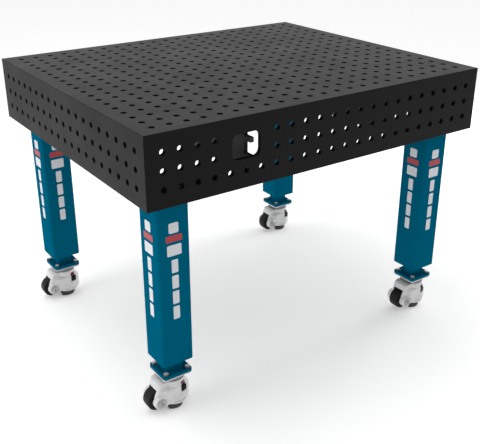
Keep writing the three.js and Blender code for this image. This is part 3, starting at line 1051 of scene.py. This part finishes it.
def housing_skin():
    """The casting above its groove, without its lobes.

    Each level is (z, start of the nose, its reach, half width, how far round it runs, rear crease).
    """
    levels = [
        (SEAM_HIGH, 10.5, 41.0, 38.8, 90, -44.0),
        (32.0, 11.0, 41.8, 39.0, 90, -45.0),
        (40.0, *LOWER_NOSE, 90, -50.0),
        (52.0, *LOWER_NOSE, 90, -60.0),
        (60.0, *LOWER_NOSE, 90, -66.0),
        (70.0, 11.0, 41.0, 39.0, 90, -61.8),
        (74.0, 9.0, 40.3, 39.0, 90, -60.0),
        (78.0, 6.0, 40.0, 39.0, 90, -58.0),
        (83.0, *MIDDLE_NOSE, 111, -56.5),
        (88.0, 0.0, 39.6, 39.0, UPPER_TURN, -54.9),
        (91.0, 0.0, 39.4, 39.0, UPPER_TURN, -54.4),
        (97.0, 0.0, 39.2, 38.8, UPPER_TURN, -52.4),
        (99.6, 0.0, 38.9, 38.6, UPPER_TURN, -49.6),
        (101.2, 0.0, 38.4, 38.2, UPPER_TURN, -45.0),
        (HOUSING_TOP, 0.0, 37.6, 37.4, UPPER_TURN, -40.0),
    ]
    return shape(loft, [(housing_plan(*plan), z) for z, *plan in levels])


def housing_rim():
    """The round rim under the groove, and the core that carries it."""
    levels = [
        (HOUSING_BOTTOM - 0.4, 36.6, 40.0),
        (22.4, 38.0, 40.9),
        (24.4, 41.0, 41.0),
        (26.6, 43.8, 41.0),
        (SEAM_LOW, 45.0, 41.0),
        (SEAM_LOW, 42.0, 36.6),
        (SEAM_HIGH + 2.0, 42.0, 36.6),
    ]
    return shape(loft, [(rim_plan(reach, half), z) for z, reach, half in levels])


def lobe_side():
    """The side view of the lobe at the end of each arm, which holds the axle."""
    end = arc(-WHEEL_OFFSET, AXLE_HEIGHT, LOBE_RADIUS, 120, 325, 32)
    return end + [(LOBE_FRONT, 31.0), (LOBE_FRONT, LOBE_TOP), (LOBE_REAR, LOBE_TOP)]


def fork_space():
    """The side view of the space for the wheel."""
    rear, front, under = -110.0, -20.0, -5.0
    round_wheel = arc(-WHEEL_OFFSET, AXLE_HEIGHT, WHEEL_RADIUS + WHEEL_GAP, -32, 86)
    return [(rear, under), (front, under), *round_wheel, (-51.0, FORK_ROOF), (rear, FORK_ROOF)]


def casting():
    """The casting, rounded all over as a die casting is."""
    body = temporary(housing_skin())
    carve(body, "UNION", side_prism(lobe_side(), HOUSING_HALF - 0.1))
    carve(body, "UNION", housing_rim())
    for side in (-1, 1):
        seat = across_y(-WHEEL_OFFSET, side * (HOUSING_HALF - 0.2), AXLE_HEIGHT)
        carve(body, "DIFFERENCE", rod(SEAT_RADIUS, -1.4, 1.4), seat)
        carve(body, "UNION", rod(BOSS_RADIUS, -4.0, 0.1), seat)
        window = rectangle(34.0, 70.0, -WINDOW_HALF, WINDOW_HALF)
        turn = Matrix.Rotation(math.radians(side * WINDOW_TURN), 4, "Z")
        carve(body, "DIFFERENCE", shape(slab, window, [], WINDOW_LOW, WINDOW_HIGH), turn)
    carve(body, "DIFFERENCE", side_prism(fork_space(), FORK_HALF))
    carve(body, "DIFFERENCE", rod(CHAMBER_RADIUS, DIAL_LOW - 1.0, DIAL_HIGH + 1.0))
    carve(body, "DIFFERENCE", rod(PAD_RECESS["radius"], HOUSING_BOTTOM - 4.0, PAD_RECESS["top"]))
    carve(body, "DIFFERENCE", rod(STEM_BORE, 10.0, 110.0))
    carve(body, "DIFFERENCE", rod(AXLE_BORE, -60.0, 60.0), AXLE_PLACE)
    remesh = body.modifiers.new("remesh", "REMESH")
    remesh.mode = "VOXEL"
    remesh.voxel_size = VOXEL
    remesh.adaptivity = 0.0
    relax = body.modifiers.new("relax", "SMOOTH")
    relax.factor = 0.5
    relax.iterations = 4
    thin = body.modifiers.new("thin", "DECIMATE")
    thin.decimate_type = "COLLAPSE"
    thin.ratio = 0.35
    apply_modifiers(body)
    return finished_mesh(body, "caster_casting", CAST)


def side_plugs():
    """A screwed plug on each side of the casting: a domed face inside a thin ring."""
    ring = [(4.9, -1.0), (4.9, 0.6), (4.3, 0.9), (3.9, 0.7), (3.6, 0.1)]
    profile = [(0.0, -1.0), *ring, (2.9, 0.1), (2.6, 0.6), (0.0, 0.8)]
    x, z = PLUG_PLACE
    parts = []
    for side in (-1, 1):
        turn = Matrix.Rotation(-side * math.pi / 2, 4, "X")
        parts.append((shape(lathe, profile, 32), at(x, side * HOUSING_HALF, z) @ turn))
    return joined(parts)


def window_shade_linings():
    """The black lining of each dial window, ribbed in the part below the dial. It is put there as painted
    shade, so that the window's recess reads dark.
    """
    inner, half_angle, ribs = 33.0, 14.4, 4
    rib_depth, groove_depth = 2.0, 3.0
    rows = ((0.15, rib_depth), (0.6, rib_depth), (0.75, groove_depth), (0.95, groove_depth))
    cheek_inner, cheek_depth, cheek_thickness = 35.2, 2.4, 1.4
    low, high, cheek_top = WINDOW_LOW + 1.0, DIAL_LOW - 1.8, DIAL_LOW + 2.0
    step = (high - low) / ribs
    parts = []
    for side in (-1, 1):
        middle = side * WINDOW_TURN

        def sector(depth, spread):
            front = []
            for i in range(11):
                angle = middle + spread * (i / 5 - 1)
                radius = skin_radius(angle, *LOWER_NOSE) - depth
                turn = math.radians(angle)
                front.append((radius * math.cos(turn), radius * math.sin(turn)))
            return front + arc(0.0, 0.0, inner, middle + spread, middle - spread, 10)

        sections = [(sector(groove_depth, half_angle - 0.8), low)]
        for i in range(ribs):
            sections += [(sector(depth, half_angle), low + step * (i + share)) for share, depth in rows]
        sections.append((sector(groove_depth + 0.6, half_angle - 0.8), high))
        parts.append((shape(loft, sections), Matrix.Identity(4)))
        for edge in (-1, 1):
            span = sorted((edge * (WINDOW_HALF - cheek_thickness), edge * (WINDOW_HALF + 0.3)))
            radius = skin_radius(middle + edge * half_angle, *MIDDLE_NOSE) - cheek_depth
            cheek_outer = math.sqrt(radius**2 - WINDOW_HALF**2)
            cheek = shape(slab, rectangle(cheek_inner, cheek_outer, *span), [], low, cheek_top)
            parts.append((cheek, Matrix.Rotation(math.radians(middle), 4, "Z")))
    return joined(parts)


def wheel():
    """The wheel with its hub, web, rounded tread edges and slightly crowned tread."""
    r, h, corner = WHEEL_RADIUS, WHEEL_HALF, 4.0
    hub = [(AXLE_BORE, h + 1.2), (11.0, h + 1.2), (12.0, h - 1.0)]
    web = [(14.0, h - 3.0), (24.0, h - 3.0), (26.0, h - 0.2)]
    turns = (0, 0.4, 0.8, 1.2, 1.57)
    edge = [(r + corner * (math.sin(a) - 1), h + corner * (math.cos(a) - 1)) for a in turns]
    upper = hub + web + edge + [(r + 0.3, 6.0), (r + 0.4, 0.0)]
    lower = [(radius, -z) for radius, z in reversed(upper[:-1])]
    return shape(lathe, list(reversed(upper + lower + [upper[0]])), 72)


def axle():
    """The axle with a round head at each end, each with a raised ring and a round socket."""
    face, end = HOUSING_HALF + 0.1, HOUSING_HALF + 1.9
    socket = [(0.0, end - 3.2), (3.4, end - 3.2), (3.4, end - 0.6)]
    dish = [(4.2, end - 0.6), (5.0, end - 1.0), (8.2, end - 1.0)]
    ring = [(9.0, end - 0.1), (11.0, end), (11.9, end - 0.7), (12.0, face + 0.5)]
    flange = [(15.0, face + 0.5), (15.6, face), (6.0, face - 0.1)]
    head = socket + dish + ring + flange
    lower = [(radius, -z) for radius, z in head]
    return shape(lathe, lower + list(reversed(head)))


def dial_body():
    """The knurled thumb dial round the screw stem, black below the red ring as painted shade: it stands for
    the shade over that part of the dial in the windows.
    """
    teeth, smooth_radius, knurl_depth = 36, 31.0, 1.4

    def knurl(angle, radius):
        if radius < smooth_radius:
            return radius
        return radius - knurl_depth * (0.5 + 0.5 * math.cos(teeth * angle)) ** 2

    low, high = DIAL_LOW, DIAL_RING_LOW - 0.1
    bore, rim = 8.6, [(30.5, low), (32.6, low + 1.2), (33.4, low + 2.5)]
    upper_rim = [(33.4, high - 1.5), (32.6, high), (30.5, high)]
    return shape(lathe, [(bore, low), *rim, *upper_rim, (bore, high), (bore, low)], teeth * 6, knurl)


def dial_ring():
    """The red ring on top of the dial."""
    low, high, bore = DIAL_RING_LOW, DIAL_HIGH, 8.6
    rim = [(33.2, low), (34.0, low + 0.8), (34.0, high - 0.8), (33.2, high), (20.0, high)]
    recess = [(19.0, high - 1.0), (bore, high - 1.0)]
    return shape(lathe, [(bore, low), *rim, *recess, (bore, low)], 72)


def stem():
    """The screw stem: threaded above, with a flanged foot that grips the rubber pad."""
    flange = [(0.0, 13.0), (16.0, 13.0), (16.0, 15.6), (15.2, 16.4), (9.0, 16.4), (8.0, 17.4), (8.0, 23.0)]
    return shape(lathe, flange + threaded_rod(8.0, 23.0, 92.0, 3.0)[1:], 40)


def foot_pad():
    """The rubber pad, with a ribbed sole and a notch beside the wheel."""
    profile = [(0.0, 0.0)]
    for radius in range(4, 27, 4):
        profile += [(radius, 0.0), (radius + 0.6, 1.0), (radius + 1.6, 1.0), (radius + 2.2, 0.0)]
    profile += [(30.0, 0.0), (31.0, 1.0), (33.0, 8.5), (33.9, 12.0), (34.0, 14.8), (33.2, 16.0), (31.5, 16.5)]
    profile += [(16.6, 16.5), (16.4, 12.9), (0.0, 12.9)]
    pad = temporary(shape(lathe, profile, 72))
    notch = rounded_rectangle(-47.0, 0.0, 58.0, 41.0, 3.0)
    carve(pad, "DIFFERENCE", shape(slab, notch, [], -4.0, 24.0))
    bevel_edges(pad, 0.5, 50)
    apply_modifiers(pad)
    return finished_mesh(pad, "foot_pad", RUBBER)


def swivel_race():
    """The swivel race under the caster plate, in grooved steps, bored for the screw stem."""
    base = [(STEM_BORE, RACE_BOTTOM), (38.8, RACE_BOTTOM), (39.6, 103.2), (39.9, 104.2), (39.9, 106.0)]
    groove = [(38.6, 106.6), (38.6, 107.2), (40.0, 107.8)]
    upper = [(40.0, 111.6), (39.2, 112.4), (37.4, 113.0), (37.0, 118.0), (37.0, RACE_TOP)]
    return shape(lathe, base + groove + upper + [(STEM_BORE, RACE_TOP), (STEM_BORE, RACE_BOTTOM)], 72)


# (piece, its mesh, the body it rides on, its material slot, the CAD node it stands for)
CASTER_PIECES = (
    ("casting", casting(), "swivel", "cast_aluminium", "caster_housing"),
    ("side_plugs", new_mesh("side_plugs", side_plugs(), [CAST]), "swivel", "cast_aluminium", None),
    # the window linings are black as painted shade inside the dial windows
    ("window_shade_linings", new_mesh("window_shade_linings", window_shade_linings(), [NYLON]), "swivel", "black_nylon", None),
    ("axle", new_mesh("axle", axle(), [TURNED], AXLE_PLACE), "swivel", "axle_steel", "caster_axle"),
    ("wheel", new_mesh("wheel", wheel(), [NYLON], AXLE_PLACE), "wheel", "black_nylon", "caster_wheel"),
    # the dial body's black is painted shade in the windows
    ("dial_body", new_mesh("dial_body", dial_body(), [NYLON]), "dial", "black_nylon", "levelling_dial"),
    ("dial_ring", new_mesh("dial_ring", dial_ring(), [RED]), "dial", "red_plastic", None),
    ("foot_pad", foot_pad(), "foot", "black_rubber", "levelling_foot"),
    ("foot_stem", new_mesh("stem", stem(), [TURNED]), "foot", "axle_steel", None),
)
RACE_MESH = new_mesh("swivel_race", swivel_race(), [RACE])


def caster(corner):
    """A caster with its mounting plate, which is bolted under the leg's flange."""
    node = "caster_plate_" + corner
    low, high = node_box(node)
    centre = node_centre(node)
    plate = bolted_plate(centre, high.x - low.x, high.z - PLATE_THICKNESS, high.z, 0.6, 0.4)
    table_piece("mounting_plate_" + corner, plate, [ZINC, ZINC], node)
    add_piece("swivel_race_" + corner, RACE_MESH, "table", place=centre)
    for piece, mesh, body, slot, stands_for in CASTER_PIECES:
        node = stands_for and f"{stands_for}_{corner}"
        add_piece(f"{piece}_{corner}", mesh, f"{body}_{corner}", node, centre)


for corner in CORNERS:
    caster(corner)


# ---- floor, light and camera

CAMERA_PLACE = (-1.380, -2.032, 1.448)
CAMERA_AZIMUTH = 34.9  # from +Y towards +X
CAMERA_ELEVATION = 23.49
CAMERA_LENS = 56.93
CAMERA_SHIFT = (-0.0070, -0.0388)
SKY_STRENGTH = 1.0
SKY_BEHIND_CAMERA = 0.28
DIM_SKY_AZIMUTH = 15.0  # from -Y towards -X
FLOOR_GLOW = 0.3
FLOOR_HALF = 9000.0
FLOOR_THICKNESS = 20.0
WHITE = (1.0, 1.0, 1.0, 1.0)


def add_floor():
    """A plain pale floor that glows a little, so that it stays bright under the table."""
    bm = shape(slab, rectangle(-FLOOR_HALF, FLOOR_HALF, -FLOOR_HALF, FLOOR_HALF), [], -FLOOR_THICKNESS, 0.0)
    surface = Surface("studio_floor", specular=0.1)
    surface.set("Emission Color", WHITE)
    surface.set("Emission Strength", FLOOR_GLOW)
    material = surface.finish((0.9, 0.9, 0.9, 1.0), surface.spread(surface.noise(1.5), 0.66, 0.74))
    add_object("floor", new_mesh("floor", bm, [material]))


def aim(thing, place, direction):
    """Puts a light or the camera at a place in metres, looking in a direction."""
    thing.location = place
    thing.rotation_euler = direction.to_track_quat("-Z", "Y").to_euler()


def add_softbox(name, place, target, width, height, power):
    """A soft rectangular light, looking at the target. Lengths here are in metres."""
    light = bpy.data.lights.new(name, "AREA")
    light.shape = "RECTANGLE"
    light.size = width
    light.size_y = height
    light.energy = power
    aim(add_object(name, light), place, Vector(target) - Vector(place))


def add_world():
    """White to the camera; as light, a soft white sky that is dimmer behind the camera."""
    world = bpy.data.worlds.new("studio")
    bpy.context.scene.world = world
    world.use_nodes = True
    world.node_tree.nodes.clear()
    tree = Tree(world.node_tree)
    azimuth = math.radians(DIM_SKY_AZIMUTH)
    dim_side = (-math.sin(azimuth), -math.cos(azimuth), 0.0)
    direction = tree.node("TexCoord").outputs["Generated"]
    toward = tree.math("DOT_PRODUCT", direction, dim_side, kind="VectorMath")
    strengths = {"To_Min": SKY_STRENGTH, "To_Max": SKY_BEHIND_CAMERA}
    ramp = tree.node("MapRange", Value=toward, From_Min=0.1, From_Max=1.0, **strengths)
    sky = tree.node("Background", Strength=ramp.outputs["Result"])
    seen = tree.node("Background", Color=WHITE, Strength=1.0)
    choice = tree.node("MixShader", Fac=tree.node("LightPath").outputs["Is Camera Ray"])
    tree.feed(choice.inputs[1], sky.outputs["Background"])
    tree.feed(choice.inputs[2], seen.outputs["Background"])
    tree.node("OutputWorld", Surface=choice.outputs["Shader"])


def add_camera():
    """The camera, at the viewing angle of the photograph."""
    data = bpy.data.cameras.new("camera")
    data.lens = CAMERA_LENS
    data.sensor_width = 36.0
    data.shift_x, data.shift_y = CAMERA_SHIFT
    azimuth, elevation = math.radians(CAMERA_AZIMUTH), math.radians(CAMERA_ELEVATION)
    level = math.cos(elevation)
    forward = Vector((math.sin(azimuth) * level, math.cos(azimuth) * level, -math.sin(elevation)))
    camera = add_object("camera", data)
    aim(camera, CAMERA_PLACE, forward)
    bpy.context.scene.camera = camera


add_floor()
add_world()
add_softbox("overhead_softbox", (-0.6, 0.6, 3.6), (0, 0, 0.6), 2.6, 2.6, 45.0)
add_softbox("left_softbox", (-3.6, 0.3, 1.9), (0, 0, 0.5), 2.0, 2.0, 25.0)
add_softbox("right_softbox", (3.4, 0.2, 0.6), (0, 0, 0.1), 1.2, 1.0, 45.0)
add_camera()
bpy.context.scene.view_settings.view_transform = "Standard"
